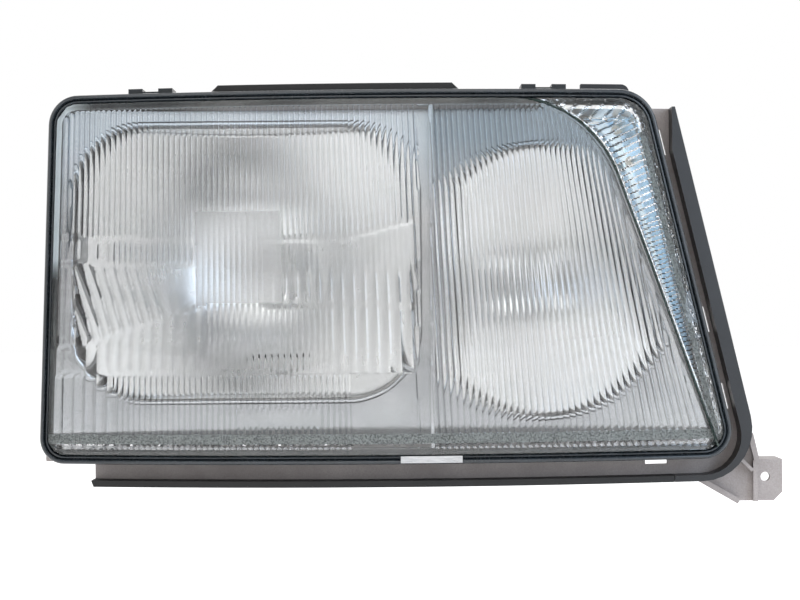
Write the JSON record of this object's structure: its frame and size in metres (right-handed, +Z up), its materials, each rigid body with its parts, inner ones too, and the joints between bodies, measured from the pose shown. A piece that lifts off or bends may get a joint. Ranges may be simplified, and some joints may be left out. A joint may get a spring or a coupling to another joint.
{
  "type": "car headlight assembly",
  "caption": "Left or right hand saloon headlight with fluted glass, main and fog reflectors, screw aiming, rear turn-lock caps and a lower fixing ear.",
  "frame": {"origin": "middle of the hole in the lower fixing ear, half way through the ear", "axes": "+X towards the lamp's outer end, +Y to the rear of the lamp (the glass faces -Y), +Z up"},
  "size_m": [0.4232, 0.2048, 0.2396],
  "materials": {
    "housing_plastic": "moulded grey polypropylene, fine grain",
    "clear_glass": "pressed soda-lime glass, fluted inside",
    "black_rubber": "moulded EPDM",
    "black_frame": "moulded plastic, satin",
    "black_plastic": "moulded, fine grain",
    "spring_steel": "bright rolled steel",
    "mask_paint": "satin silver-grey paint",
    "silvered": "vacuum-metallised and lacquered",
    "zinc_steel": "zinc plated",
    "white_plastic": "natural nylon",
    "bulb_glass": "clear quartz or glass",
    "brass_pins": "tinned brass",
    "lead_sheath": "PVC sheath"
  },
  "bodies": {
    "root": {"housing": "housing_plastic", "lens": "clear_glass", "lens_seal": "black_rubber", "lens_frame": "black_frame", "lens_clips": "spring_steel", "top_seal": "black_rubber", "side_rail": "black_plastic", "bottom_seal": "black_rubber", "inner_mask": "mask_paint", "corner_reflector": "silvered", "corner_screws": "zinc_steel", "pivot_stud": "zinc_steel", "fog_pivot_studs": "zinc_steel", "main_cap_gasket": "black_rubber", "fog_cap_gasket": "black_rubber", "lamp_socket": "black_plastic", "socket_pins": "brass_pins", "breather_cap": "black_rubber", "main_lead": "lead_sheath", "fog_lead": "lead_sheath"},
    "height_knob": {"height_knob": "white_plastic"},
    "height_stud": {"height_stud": "zinc_steel"},
    "side_knob": {"side_knob": "white_plastic"},
    "side_stud": {"side_stud": "zinc_steel"},
    "pivot_ball": {"pivot_ball": "zinc_steel"},
    "main_reflector": {"main_reflector": "silvered", "ball_sockets": "white_plastic", "bulb_base": "spring_steel", "bulb_glass": "bulb_glass", "bulb_connector": "black_plastic", "parking_holder": "black_plastic", "parking_bulb": "bulb_glass"},
    "bulb_spring": {"bulb_spring": "spring_steel"},
    "fog_knob": {"fog_knob": "white_plastic"},
    "fog_stud": {"fog_stud": "zinc_steel"},
    "fog_reflector": {"fog_reflector": "silvered", "fog_sockets": "white_plastic", "fog_bulb_base": "spring_steel", "fog_bulb_glass": "bulb_glass", "fog_connector": "black_plastic"},
    "fog_spring": {"fog_spring": "spring_steel"},
    "main_cap": {"main_cap": "black_plastic"},
    "fog_cap": {"fog_cap": "black_plastic"}
  },
  "joints": [
    {"name": "height_screw", "type": "hinge", "parent": "root", "child": "height_knob", "pos_m": [-0.24631, 0.07682, 0.1754], "axis": [0, 1, 0], "range_deg": [-240, 240]},
    {"name": "height_stud_slide", "type": "slide", "parent": "root", "child": "height_stud", "axis": [0, 1, 0], "range_m": [-0.00201, 0.00201]},
    {"name": "side_screw", "type": "hinge", "parent": "root", "child": "side_knob", "pos_m": [-0.34631, 0.07682, 0.0754], "axis": [0, 1, 0], "range_deg": [-240, 240]},
    {"name": "side_stud_slide", "type": "slide", "parent": "root", "child": "side_stud", "axis": [0, 1, 0], "range_m": [-0.00201, 0.00201]},
    {"name": "side_aim", "type": "hinge", "parent": "root", "child": "pivot_ball", "pos_m": [-0.24631, 0.05937, 0.0754], "axis": [0, 0, 1], "range_deg": [-1.16, 1.16], "deforming": ["main_lead"]},
    {"name": "height_aim", "type": "hinge", "parent": "pivot_ball", "child": "main_reflector", "pos_m": [-0.24631, 0.05937, 0.0754], "axis": [1, 0, 0], "range_deg": [-1.16, 1.16], "deforming": ["main_lead"]},
    {"name": "bulb_spring_swing", "type": "hinge", "parent": "main_reflector", "child": "bulb_spring", "pos_m": [-0.29631, 0.09072, 0.0984], "axis": [1, 0, 0], "range_deg": [-45, 0]},
    {"name": "fog_screw", "type": "hinge", "parent": "root", "child": "fog_knob", "pos_m": [-0.13, 0.06611, 0.184], "axis": [0, 1, 0], "range_deg": [-240, 240]},
    {"name": "fog_stud_slide", "type": "slide", "parent": "root", "child": "fog_stud", "axis": [0, 1, 0], "range_m": [-0.00201, 0.00201]},
    {"name": "fog_aim", "type": "hinge", "parent": "root", "child": "fog_reflector", "pos_m": [-0.13, 0.0286, 0.05655], "axis": [1, 0, 0], "range_deg": [-0.91, 0.91], "deforming": ["fog_lead"]},
    {"name": "fog_spring_swing", "type": "hinge", "parent": "fog_reflector", "child": "fog_spring", "pos_m": [-0.13, 0.08001, 0.096], "axis": [1, 0, 0], "range_deg": [-45, 0]},
    {"name": "main_cap_turn", "type": "hinge", "parent": "root", "child": "main_cap", "pos_m": [-0.29631, 0.10082, 0.1254], "axis": [0, 1, 0], "range_deg": [0, 30]},
    {"name": "fog_cap_turn", "type": "hinge", "parent": "root", "child": "fog_cap", "pos_m": [-0.13, 0.08411, 0.114], "axis": [0, 1, 0], "range_deg": [0, 30]}
  ],
  "couplings": [
    {"joint": "height_stud_slide", "follows": "height_screw", "m_per_rad": -0.00047746},
    {"joint": "height_aim", "follows": "height_screw", "ratio": 0.0047746},
    {"joint": "side_stud_slide", "follows": "side_screw", "m_per_rad": -0.00047746},
    {"joint": "side_aim", "follows": "side_screw", "ratio": 0.0047746},
    {"joint": "fog_stud_slide", "follows": "fog_screw", "m_per_rad": -0.00047746},
    {"joint": "fog_aim", "follows": "fog_screw", "ratio": 0.0037464}
  ]
}
